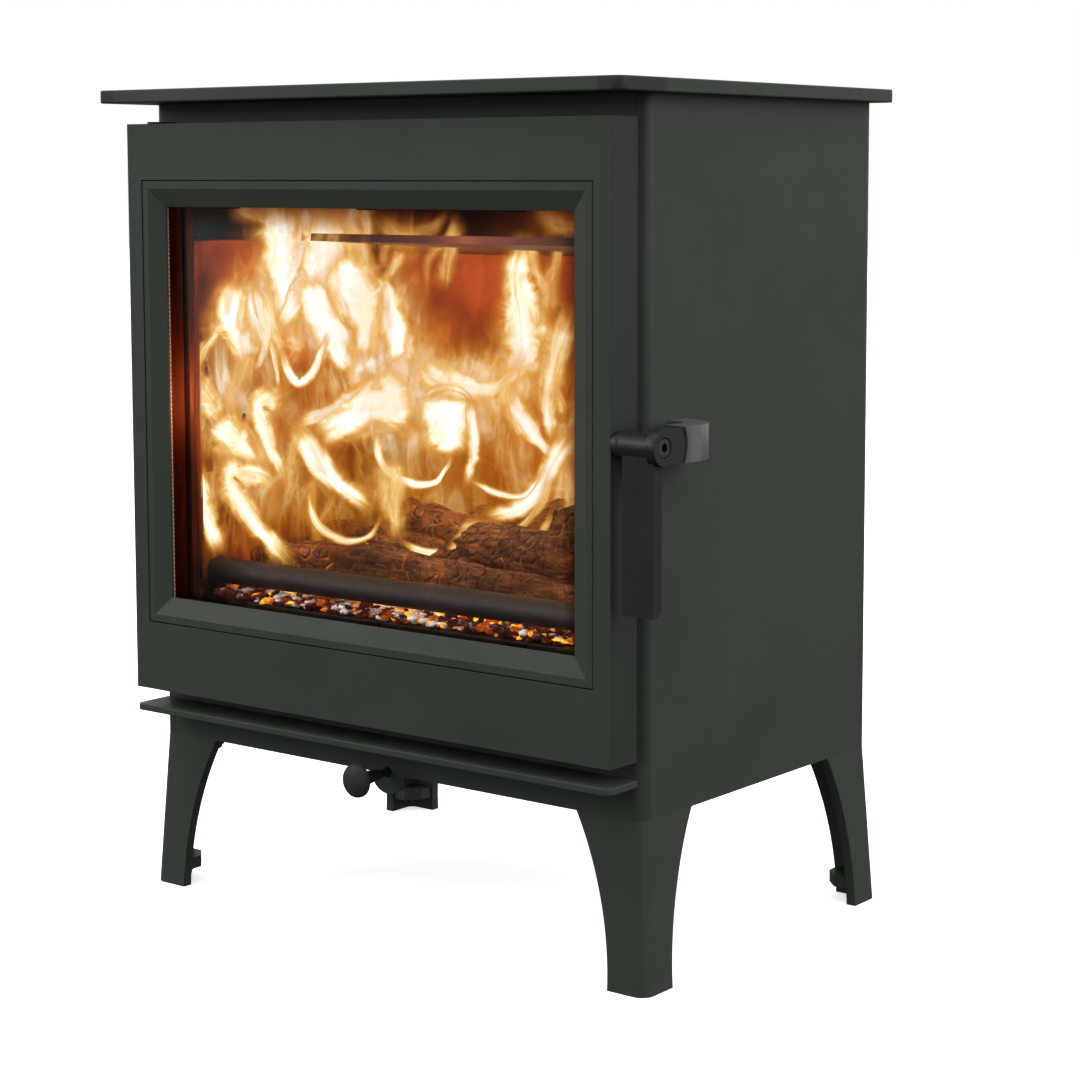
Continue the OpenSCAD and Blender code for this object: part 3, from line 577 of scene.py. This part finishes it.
def veil(name, s, gain, offset):
    """Sheet of burning gas across the firebox, hotter where the tongues are."""
    columns, rows = 88, 60
    verts, heats = [], []
    for j in range(rows + 1):
        for i in range(columns + 1):
            t = FIRE_LEFT + (FIRE_RIGHT - FIRE_LEFT) * i / columns
            z = FIRE_LOW + (FIRE_HIGH - FIRE_LOW) * j / rows
            wave = 10 * noise.noise(Vector((t * 0.02 + offset, z * 0.012, offset)))
            verts.append(on_fire(t, z, s + wave))
            heat = 0.95 * sum(h * math.exp(-((t - a) / b) ** 2 - ((z - c) / d) ** 2) for a, c, b, d, h in GLOWS)
            edge = min(1.0, (FIRE_RIGHT - 2 - t) / 10, (FIRE_HIGH - z) / 6, (z - FIRE_LOW) / 16)
            heats.append(gain * min(heat, 1.05) * max(edge, 0.0))
    add_piece(name, verts, grid_faces(rows, columns), veil_finish(name, offset), {"warmth": heats})


def charred_wood():
    """Burning log: black alligator char, ash on its ridges and glowing cracks."""
    s = Shader("charred_wood")
    ragged = s.product(s.math("SUBTRACT", s.noise(70.0, 4.0, 0.6), 0.42), 0.5)
    crack = s.math("ADD", s.cells(95.0, "DISTANCE_TO_EDGE"), ragged)
    grain = s.noise(40.0, 6.0, 0.7, 0.3, (1.0, 5.0, 5.0))
    patch = s.noise(14.0, 4.0, 0.6, 0.6)
    wood = s.ramp(grain, [
        (0.3, srgb("#1d110a")), (0.48, srgb("#3d2414")), (0.64, srgb("#64401f")), (0.8, srgb("#8d7660")),
    ])
    hot = s.math("MULTIPLY", s.span(crack, 0.05, 0.0), s.span(patch, 0.45, 0.68))
    surface = s.bump(s.math("ADD", s.span(crack, 0.0, 0.2), grain), 0.003, 0.9)
    lit = s.ramp(hot, [(0.0, srgb("#3a1a0a")), (0.5, srgb("#d0681a")), (1.0, srgb("#ffb95a"))])
    return s.principled(Base_Color=wood, Roughness=0.85, Specular_IOR_Level=0.2, Normal=surface,
                        Emission_Color=lit, Emission_Strength=s.span(hot, 0.0, 1.0, 0.25, 0.9))


def ember_finish():
    """Bed of embers: white ash, black char, dull red coals and a few yellow ones."""
    s = Shader("embers")
    kind = s.attribute("kind")
    speck = s.noise(260.0, 4.0, 0.7)
    tone = s.ramp(s.math("ADD", kind, s.math("MULTIPLY", s.math("SUBTRACT", speck, 0.5), 0.35)), [
        (0.0, srgb("#fffaf7")), (0.26, srgb("#d9cccc")), (0.38, srgb("#4a2f2d")), (0.55, srgb("#1f1010")),
        (0.7, srgb("#5c1a0f")), (0.85, srgb("#b8560f")), (1.0, srgb("#e8b030")),
    ])
    hot = s.span(s.math("ADD", kind, s.math("MULTIPLY", s.math("SUBTRACT", speck, 0.5), 0.5)), 0.6, 1.0)
    lit = s.ramp(hot, [(0.0, srgb("#4a1812")), (0.5, srgb("#a8480f")), (1.0, srgb("#f0b843"))])
    return s.principled(Base_Color=tone, Roughness=0.95, Specular_IOR_Level=0.1, Normal=s.bump(speck, 0.0015, 0.9),
                        Emission_Color=lit, Emission_Strength=s.span(hot, 0.0, 1.0, 0.35, 1.3))


# Logs as (one end, other end, radius), in mm
LOGS = [
    ((-196, -96, 262), (150, -84, 262), 19),
    ((-170, -52, 268), (168, -40, 266), 26),
    ((-150, -20, 300), (120, -66, 286), 20),
    ((-130, 30, 290), (150, -8, 306), 22),
    ((-190, 10, 262), (170, 40, 264), 22),
]


def logs():
    """Split, charred logs with rough bark and uneven sawn ends."""
    around, lengthwise = 40, 72
    finish = charred_wood()
    for number, (start, end, radius) in enumerate(LOGS):
        a, b = Vector(start) * MM, Vector(end) * MM
        along = (b - a).normalized()
        side = along.cross(Vector((0, 0, 1))).normalized()
        up = side.cross(along)
        verts, faces = [], []
        for i in range(lengthwise + 1):
            u = i / lengthwise
            middle = a.lerp(b, u) + up * 0.006 * math.sin(u * 5 + number) + side * 0.005 * math.sin(u * 4 + 2 * number)
            end_round = min(1.0, 0.72 + min(u, 1 - u) * 7)
            for k in range(around):
                angle = 2 * math.pi * k / around
                c, d = math.cos(angle), math.sin(angle)
                split = min(1.0, 0.74 / max(0.74, c * math.cos(number * 2.1) + d * math.sin(number * 2.1)))
                rough = noise.fractal(Vector((u * 9 + number * 7, c * 1.6, d * 1.6)), 0.8, 2.2, 5)
                ridges = abs(noise.noise(Vector((u * 5 + number, c * 6, d * 6))))
                r = radius * MM * split * end_round * (1 + 0.12 * rough - 0.1 * ridges)
                verts.append(middle + side * c * r + up * d * r)
        for i in range(lengthwise):
            for k in range(around):
                n = (k + 1) % around
                faces.append((i * around + k, i * around + n, (i + 1) * around + n, (i + 1) * around + k))
        for ring, point in ((0, a), (lengthwise, b)):
            base = ring * around
            centre = len(verts)
            verts.append(point + up * 0.002)
            inner = len(verts)
            for k in range(around):
                rim = verts[base + k]
                dent = along * (0.003 if ring == 0 else -0.003) * noise.noise(rim * 90)
                verts.append((rim - point) * 0.6 + point + dent)
            for k in range(around):
                n = (k + 1) % around
                quads = [(base + n, base + k, inner + k, inner + n), (inner + n, inner + k, centre)]
                faces.extend(q if ring == 0 else tuple(reversed(q)) for q in quads)
        add_piece(f"log_{number + 1}", verts, faces, finish)


def embers():
    """Irregular coals and ash flakes heaped on the fire bed."""
    rng = random.Random(7)
    unit = bmesh.new()
    bmesh.ops.create_icosphere(unit, subdivisions=2, radius=1.0)
    ball = [v.co.copy() for v in unit.verts]
    shell = [tuple(v.index for v in f.verts) for f in unit.faces]
    unit.free()
    verts, faces, kinds = [], [], []
    for number in range(COALS):
        x = rng.uniform(-204, 184)
        front = number < FRONT_COALS
        y = rng.uniform(-141, -112) if front else rng.uniform(-112, 86)
        size = rng.uniform(1.2, 4.2) if front else rng.uniform(4, 12)
        z = 239 + size * 0.4 + (rng.uniform(0, 5) if front else rng.uniform(0, 9))
        u = (x + 204) / 388
        ash = 0.75 if 0.12 < u < 0.62 else 0.2
        hot = 0.22 if 0.42 < u < 0.85 else 0.08
        pick = rng.random()
        if pick < ash * 0.7:
            kind = rng.uniform(0.0, 0.25)
        elif pick > 1 - hot:
            kind = rng.uniform(0.72, 1.0)
        else:
            kind = rng.uniform(0.34, 0.72)
        stretch = Vector((rng.uniform(0.8, 1.9), rng.uniform(0.7, 1.4), rng.uniform(0.35, 0.8))) * size * MM
        turn = Matrix.Rotation(rng.uniform(0, math.tau), 3, "Z") @ Matrix.Rotation(rng.uniform(-0.5, 0.5), 3, "X")
        first = len(verts)
        for co in ball:
            lump = 1 + 0.7 * noise.noise(co * 1.9 + Vector((number * 3.7, 0, 0)))
            p = turn @ Vector((co.x * stretch.x, co.y * stretch.y, co.z * stretch.z)) * lump
            point = p + Vector((x, y, z)) * MM
            point.z = max(point.z, 0.2383)
            point.x = min(max(point.x, -0.2125), 0.1915)
            verts.append(point)
            kinds.append(kind)
        faces.extend(tuple(first + i for i in tri) for tri in shell)
    add_piece("embers", verts, faces, ember_finish(), {"kind": kinds})


def fire_light(name, place, power, radius=0.045, colour=(1.0, 0.6, 0.3)):
    """Warm lamp inside the fire, seen only by the light it throws."""
    light = bpy.data.lights.new(name, "POINT")
    light.energy = power
    light.shadow_soft_size = radius
    light.color = colour
    obj = bpy.data.objects.new(name, light)
    obj.location = place
    obj.visible_camera = False
    obj.visible_glossy = False
    scene.collection.objects.link(obj)


def fire():
    logs()
    embers()
    veil("burning_gas_back", 3, 1.12, 1.7)
    veil("burning_gas_middle", 26, 0.85, 9.2)
    veil("burning_gas_front", 74, 0.46, 4.1)
    licks()
    fire_light("fire_plume", (-0.12, -0.04, 0.45), 2.0)
    fire_light("fire_middle", (-0.02, -0.05, 0.36), 1.6)
    fire_light("fire_right", (0.1, 0.0, 0.36), 0.6)
    fire_light("fire_left", (-0.19, -0.15, 0.40), 0.6, 0.012)
    for x in (-0.13, 0.0, 0.12):
        fire_light(f"fire_bed_{x * 1000:.0f}", (x, -0.118, 0.283), 0.06, 0.012, (1.0, 0.62, 0.36))
    fire_light("fire_throat", (0.03, -0.12, 0.56), 1.1, 0.03, (1.0, 0.42, 0.34))


fire()


# ---------------------------------------------------------------- studio


def area_light(name, place, aim, size, power, colour=(1.0, 1.0, 1.0)):
    """Large soft lamp at place, turned towards aim."""
    light = bpy.data.lights.new(name, "AREA")
    light.shape = "RECTANGLE"
    light.size, light.size_y = size
    light.energy = power
    light.color = colour
    obj = bpy.data.objects.new(name, light)
    obj.location = place
    obj.rotation_euler = (Vector(aim) - Vector(place)).to_track_quat("-Z", "Y").to_euler()
    scene.collection.objects.link(obj)


def studio():
    """White room with a pale floor and large soft lights."""
    world = bpy.data.worlds.new("room")
    world.use_nodes = True
    tree = world.node_tree
    sky = tree.nodes["Background"]
    sky.inputs["Color"].default_value = (1.0, 1.0, 1.0, 1.0)
    height = tree.nodes.new("ShaderNodeSeparateXYZ")
    dim = tree.nodes.new("ShaderNodeMapRange")
    for key, value in zip(("From Min", "From Max", "To Min", "To Max"), (-0.12, -0.04, 0.12, 1.0)):
        dim.inputs[key].default_value = value
    tree.links.new(tree.nodes.new("ShaderNodeTexCoord").outputs["Generated"], height.inputs[0])
    tree.links.new(height.outputs["Z"], dim.inputs["Value"])
    tree.links.new(dim.outputs["Result"], sky.inputs["Strength"])
    scene.world = world
    bm = bmesh.new()
    bmesh.ops.create_grid(bm, x_segments=4, y_segments=4, size=14.0)
    mesh = bpy.data.meshes.new("floor")
    bm.to_mesh(mesh)
    bm.free()
    floor = bpy.data.objects.new("floor", mesh)
    scene.collection.objects.link(floor)
    s = Shader("floor")
    tone = s.ramp(s.noise(3.0, 2.0), [(0.3, (0.93, 0.93, 0.93)), (0.7, (0.95, 0.95, 0.95))])
    floor.data.materials.append(s.principled(Base_Color=tone, Roughness=0.8, Specular_IOR_Level=0.1,
                                             Emission_Color=tone, Emission_Strength=0.7))
    floor.visible_diffuse = False
    floor.visible_glossy = False
    area_light("right_key", (3.2, 0.6, 1.9), (0.1, 0.0, 0.35), (2.4, 2.4), 72.0, (1.0, 0.88, 0.98))
    area_light("front_fill", (-2.6, -2.6, 1.8), (0.0, 0.0, 0.3), (1.8, 1.8), 52.0)
    area_light("top", (0.0, -0.4, 3.4), (0.0, 0.0, 0.3), (3.0, 3.0), 60.0)


def camera():
    """Camera at a near three-quarter view, a little above the middle of the stove and looking slightly down."""
    data = bpy.data.cameras.new("camera")
    data.lens = 82.68
    data.sensor_width = 36.0
    data.shift_x = -0.0503
    data.shift_y = -0.0953
    obj = bpy.data.objects.new("camera", data)
    obj.location = (1.2265, -1.5218, 0.5727)
    obj.rotation_euler = (math.radians(84.02), 0.0, math.radians(37.14))
    scene.collection.objects.link(obj)
    scene.camera = obj


scene.view_settings.view_transform = "Standard"
studio()
camera()
